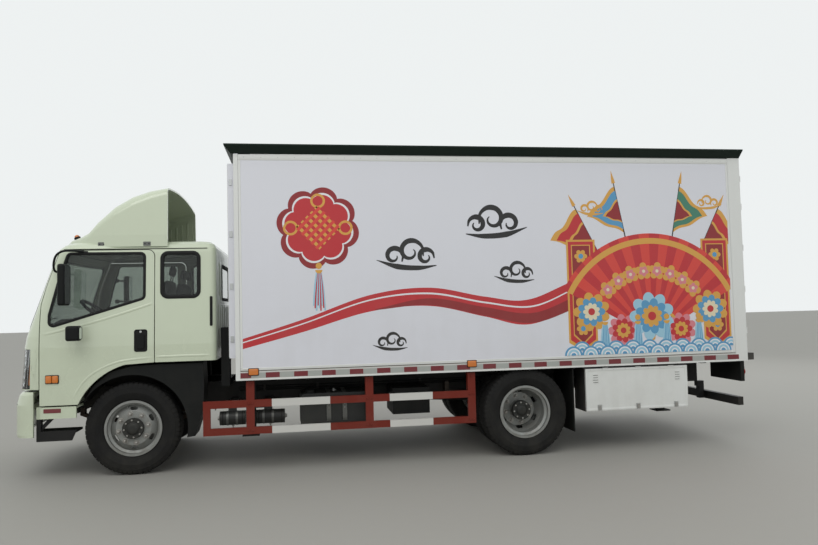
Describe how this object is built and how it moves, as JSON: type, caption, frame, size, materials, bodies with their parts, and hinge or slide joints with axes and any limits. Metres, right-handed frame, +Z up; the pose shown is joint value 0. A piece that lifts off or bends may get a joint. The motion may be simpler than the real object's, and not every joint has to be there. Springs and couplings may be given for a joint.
{
  "type": "mobile stage truck",
  "caption": "Cab-over two-axle truck with a box body whose side walls swing up as wings, a roof fairing, rear doors and stabiliser legs.",
  "frame": {"origin": "on the ground under the middle of the truck's overall length and width", "axes": "+X forward, +Y to the truck's left, +Z up"},
  "size_m": [7.456, 2.66, 3.108],
  "materials": {
    "chassis_paint": "satin",
    "cab_paint": "gloss",
    "box_panel": "satin",
    "box_frame_paint": "gloss",
    "roof_trim": "satin",
    "floor_board": "matte",
    "wheel_paint": "satin",
    "tyre": "matte",
    "window": "gloss",
    "lamp_glass": "gloss",
    "red_lamp": "gloss",
    "black_plastic": "matte",
    "fairing_paint": "gloss",
    "trim": "matte",
    "seat_cloth": "matte",
    "castings": "matte",
    "spring_steel": "satin",
    "tank_alloy": "satin",
    "buffer_rubber": "matte",
    "guard_paint": "satin",
    "mirror_shell": "satin"
  },
  "bodies": {
    "chassis": {"chassis_frame": "chassis_paint", "leaf_springs": "spring_steel", "front_axle": "castings", "rear_axle": "castings", "drive_line": "castings", "fuel_tank": "tank_alloy", "chassis_tanks": "tank_alloy", "chassis_boxes": "black_plastic", "box_subframe": "chassis_paint", "box_floor": "floor_board", "box_front_wall": "box_panel", "box_rear_frame": "box_frame_paint", "box_roof": "roof_trim", "tail_lamps": "red_lamp", "dock_buffers": "buffer_rubber", "underrun_bar": "chassis_paint", "side_guards": "guard_paint", "tool_boxes": "box_frame_paint", "mudguards": "black_plastic", "front_bumper": "fairing_paint", "cab_steps": "fairing_paint", "air_intake": "black_plastic"},
    "cab": {"cab_shell": "cab_paint", "headlamps": "lamp_glass", "grille": "black_plastic", "cab_glass": "window", "roof_fairing": "fairing_paint", "dashboard": "trim", "steering_wheel": "trim", "seat_bases": "trim", "seats": "seat_cloth"},
    "cab_door_left": {"door_left": "cab_paint", "door_glass_left": "window", "mirrors_left": "mirror_shell"},
    "wing_body_left": {"wing_left": "box_panel"},
    "load_door_left": {"rear_door_left": "box_panel"},
    "box_lid_left": {"tool_lid_left": "box_frame_paint"},
    "steer_left": {"knuckle_left": "castings"},
    "leg_body_front_left": {"leg_front_left": "chassis_paint"},
    "wheel_front_left": {"tyre_front_left": "tyre", "rim_front_left": "wheel_paint"},
    "leg_body_rear_left": {"leg_rear_left": "chassis_paint"},
    "wheel_rear_left": {"tyre_rear_left": "tyre", "rim_rear_left": "wheel_paint"},
    "cab_door_right": {"door_right": "cab_paint", "door_glass_right": "window", "mirrors_right": "mirror_shell"},
    "wing_body_right": {"wing_right": "box_panel"},
    "load_door_right": {"rear_door_right": "box_panel"},
    "box_lid_right": {"tool_lid_right": "box_frame_paint"},
    "steer_right": {"knuckle_right": "castings"},
    "leg_body_front_right": {"leg_front_right": "chassis_paint"},
    "wheel_front_right": {"tyre_front_right": "tyre", "rim_front_right": "wheel_paint"},
    "leg_body_rear_right": {"leg_rear_right": "chassis_paint"},
    "wheel_rear_right": {"tyre_rear_right": "tyre", "rim_rear_right": "wheel_paint"}
  },
  "joints": [
    {"name": "cab_tilt", "type": "hinge", "parent": "chassis", "child": "cab", "pos_m": [3.613, 0, 0.7], "axis": [0, 1, 0], "range_deg": [0, 45]},
    {"name": "cab_door_left_swing", "type": "hinge", "parent": "cab", "child": "cab_door_left", "pos_m": [3.373, 1.04, 1.4], "axis": [0, 0, -1], "range_deg": [0, 70]},
    {"name": "wing_left_lift", "type": "hinge", "parent": "chassis", "child": "wing_body_left", "pos_m": [-1, 1.15, 3.01], "axis": [1, 0, 0], "range_deg": [0, 90]},
    {"name": "load_door_left_swing", "type": "hinge", "parent": "chassis", "child": "load_door_left", "pos_m": [-3.662, 1.12, 1.95], "axis": [0, 0, -1], "range_deg": [0, 180]},
    {"name": "box_lid_left_lift", "type": "hinge", "parent": "chassis", "child": "box_lid_left", "pos_m": [-2.3945, 1.136, 0.838], "axis": [1, 0, 0], "range_deg": [0, 90]},
    {"name": "leg_front_left_slide", "type": "slide", "parent": "chassis", "child": "leg_body_front_left", "axis": [0, 0, -1], "range_m": [0, 0.324]},
    {"name": "leg_rear_left_slide", "type": "slide", "parent": "chassis", "child": "leg_body_rear_left", "axis": [0, 0, -1], "range_m": [0, 0.324]},
    {"name": "steer_left_turn", "type": "hinge", "parent": "chassis", "child": "steer_left", "pos_m": [2.603, 0.74, 0.4325], "axis": [0, 0, 1], "range_deg": [-35, 35]},
    {"name": "wheel_front_left_spin", "type": "hinge", "parent": "steer_left", "child": "wheel_front_left", "pos_m": [2.603, 0.836, 0.4325], "axis": [0, 1, 0], "continuous": true},
    {"name": "wheel_rear_left_spin", "type": "hinge", "parent": "chassis", "child": "wheel_rear_left", "pos_m": [-1.197, 0.85, 0.4325], "axis": [0, 1, 0], "continuous": true},
    {"name": "cab_door_right_swing", "type": "hinge", "parent": "cab", "child": "cab_door_right", "pos_m": [3.373, -1.04, 1.4], "axis": [0, 0, 1], "range_deg": [0, 70]},
    {"name": "wing_right_lift", "type": "hinge", "parent": "chassis", "child": "wing_body_right", "pos_m": [-1, -1.15, 3.01], "axis": [-1, 0, 0], "range_deg": [0, 90]},
    {"name": "load_door_right_swing", "type": "hinge", "parent": "chassis", "child": "load_door_right", "pos_m": [-3.662, -1.12, 1.95], "axis": [0, 0, 1], "range_deg": [0, 180]},
    {"name": "box_lid_right_lift", "type": "hinge", "parent": "chassis", "child": "box_lid_right", "pos_m": [-2.3945, -1.136, 0.838], "axis": [-1, 0, 0], "range_deg": [0, 90]},
    {"name": "leg_front_right_slide", "type": "slide", "parent": "chassis", "child": "leg_body_front_right", "axis": [0, 0, -1], "range_m": [0, 0.324]},
    {"name": "leg_rear_right_slide", "type": "slide", "parent": "chassis", "child": "leg_body_rear_right", "axis": [0, 0, -1], "range_m": [0, 0.324]},
    {"name": "steer_right_turn", "type": "hinge", "parent": "chassis", "child": "steer_right", "pos_m": [2.603, -0.74, 0.4325], "axis": [0, 0, 1], "range_deg": [-35, 35]},
    {"name": "wheel_front_right_spin", "type": "hinge", "parent": "steer_right", "child": "wheel_front_right", "pos_m": [2.603, -0.836, 0.4325], "axis": [0, 1, 0], "continuous": true},
    {"name": "wheel_rear_right_spin", "type": "hinge", "parent": "chassis", "child": "wheel_rear_right", "pos_m": [-1.197, -0.85, 0.4325], "axis": [0, 1, 0], "continuous": true}
  ],
  "couplings": [
    {"joint": "steer_right_turn", "follows": "steer_left_turn", "ratio": 1}
  ]
}
